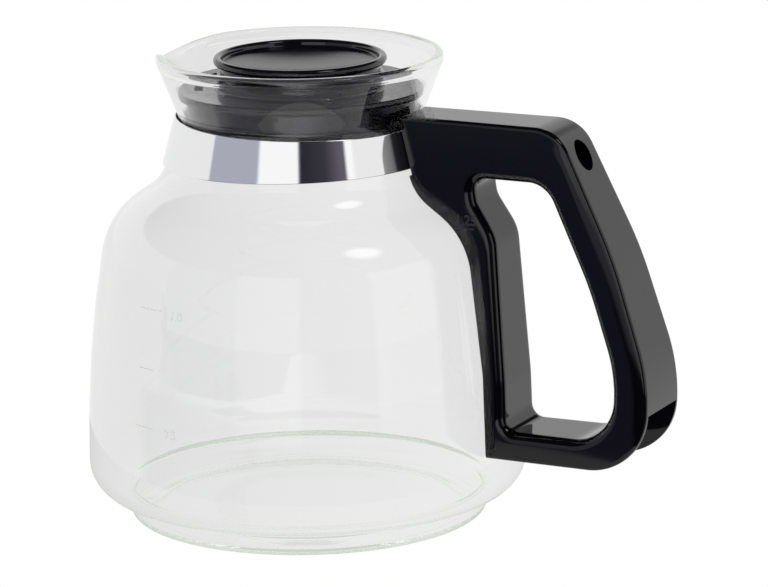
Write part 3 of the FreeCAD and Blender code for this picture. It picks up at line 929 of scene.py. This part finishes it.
def handle():
    """One hollow moulding, with its bulkhead, ribs, seats for glass and band, and screw holes."""
    body = handle_blank()
    outward(body)
    carve(body, hollow())
    webs = [web("bulkhead", *BULKHEAD, *BULKHEAD_Z)]
    webs += [web("rib", RIB_START, x, z, z + RIB_T) for z, x in RIBS]
    for wall in webs:
        carve(body, wall, "UNION")
    carve(body, glass_room(GLASS_GAP))
    carve(body, band_room(BAND_GAP))
    carve(body, bar(CORE_R, 10.0, BULKHEAD[1] + 1))
    carve(body, bar(ACCESS_R, BULKHEAD[1] + ACCESS_START, FAR))
    body.data.materials.clear()
    body.data.materials.append(HANDLE_BLACK)
    body.data.polygons.foreach_set("material_index", [0] * len(body.data.polygons))
    body.data.polygons.foreach_set("use_smooth", [True] * len(body.data.polygons))
    body.data.set_sharp_from_angle(angle=SHARP)
    even_out = body.modifiers.new("even", "WEIGHTED_NORMAL")
    even_out.keep_sharp = True
    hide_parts("handle")
    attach(body, "jug")


FULL_X = 61.9
FULL_Z = 101.6
RELIEF_SIZE = 4.4
RELIEF = 0.16


def handle_mark():
    """The full mark, raised on both flat sides of the handle beside the shoulder."""
    for side, name in ((-1, "mark_full_near"), (1, "mark_full_far")):
        flat, faces = joined(lettering(name, "1.25", RELIEF_SIZE, 0.03, RELIEF), dash(6.0, 0.4, 0.18, -2.5))
        verts = []
        for v in flat:
            at = Vector((FULL_X - side * v.x, FULL_Z + v.y))
            verts.append((at.x, side * (half_width(at) + v.z), at.y))
        obj = new_object(name, verts, faces, RAISED_BLACK, smooth=False)
        outward(obj)
        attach(obj, "jug")


handle()
handle_mark()


# ---------------------------------------------------------------- lid knob

KNOB_R = 27.4
KNOB_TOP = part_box("lid_knob")[1][2] / MM
RIM_UNDER = KNOB_TOP - 2.5
SPIGOT_R = 24.25
SPIGOT_IN = 22.4
SPIGOT_LOW = 138.6
SEAT_Z = 142.45
BARREL_R = 25.3
DISH_R = 23.4
DISH_EDGE = KNOB_TOP - 2.0
DISH_SIDE = DISH_EDGE - 0.15
DISH_FLOOR = KNOB_TOP - 4.7
CLIP_TURNS = (60, 180, 300)
CLIP_HALF_W = 3.0
CLIP_SIDE = [(21.1, 134.6), (22.6, 134.6), (23.5, 136.0), (22.6, 136.0), (22.6, 143.0), (21.1, 143.0)]


def lid_knob():
    """The dish with its rolled rim, on a barrel whose spigot stands in the lid's collar."""
    side = rounded([(0, 141.8, 0), (SPIGOT_IN, 142.6, 1.2), (SPIGOT_IN, SPIGOT_LOW, 0.3),
                    (SPIGOT_R, SPIGOT_LOW, 0.4), (SPIGOT_R, SEAT_Z, 0.2), (BARREL_R, SEAT_Z, 0.4),
                    (BARREL_R, RIM_UNDER, 0.6), (KNOB_R, RIM_UNDER, 1.1), (KNOB_R, KNOB_TOP, 1.25),
                    (24.85, KNOB_TOP, 1.2), (24.6, DISH_EDGE, 0.6), (DISH_R, DISH_SIDE, 0)], 8.0)
    dish = [Vector((r, DISH_FLOOR + (DISH_SIDE - DISH_FLOOR) * (r / DISH_R) ** 2))
            for r in (22.6, 21, 19, 16, 13, 10, 7, 4, 2)]
    angles = [2 * math.pi * i / 192 for i in range(192)]
    knob = lathed("lid_dish_knob", side + dish + [Vector((0, DISH_FLOOR))], angles, KNOB_BLACK)
    outward(knob)
    knob.data.set_sharp_from_angle(angle=math.radians(50))
    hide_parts("lid_knob")
    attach(knob, "lid")


def lid_clip(name, turn):
    """A spring leg under the knob, with a hook that snaps under the lid's collar."""
    n = len(CLIP_SIDE)
    verts = []
    for y in (-CLIP_HALF_W, CLIP_HALF_W):
        verts += [(x * math.cos(turn) - y * math.sin(turn), x * math.sin(turn) + y * math.cos(turn), z)
                  for x, z in CLIP_SIDE]
    faces = [tuple(range(n)), tuple(range(2 * n - 1, n - 1, -1))]
    faces += [(k, k + n, (k + 1) % n + n, (k + 1) % n) for k in range(n)]
    leg = new_object(name, verts, faces, LID_BLACK, smooth=False)
    outward(leg)
    soften = leg.modifiers.new("edge", "BEVEL")
    soften.width = 0.15 * MM
    soften.segments = 2
    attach(leg, "lid")


lid_knob()
for number, degrees in enumerate(CLIP_TURNS, 1):
    lid_clip("lid_clip_%d" % number, math.radians(degrees))


# ---------------------------------------------------------------- CAD nodes that keep their shape

def finish_node(name, mat):
    """Gives a CAD node its looks without touching its mesh."""
    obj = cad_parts[name]
    obj.data.materials.clear()
    obj.data.materials.append(mat)
    even = obj.modifiers.new("even", "WEIGHTED_NORMAL")
    even.keep_sharp = True


finish_node("lid_body", LID_BLACK)
finish_node("band_liner", RUBBER)
for fastener in ("band_yoke", "yoke_nut", "clamp_screw", "flat_washer", "spring_washer"):
    finish_node(fastener, ZINC)
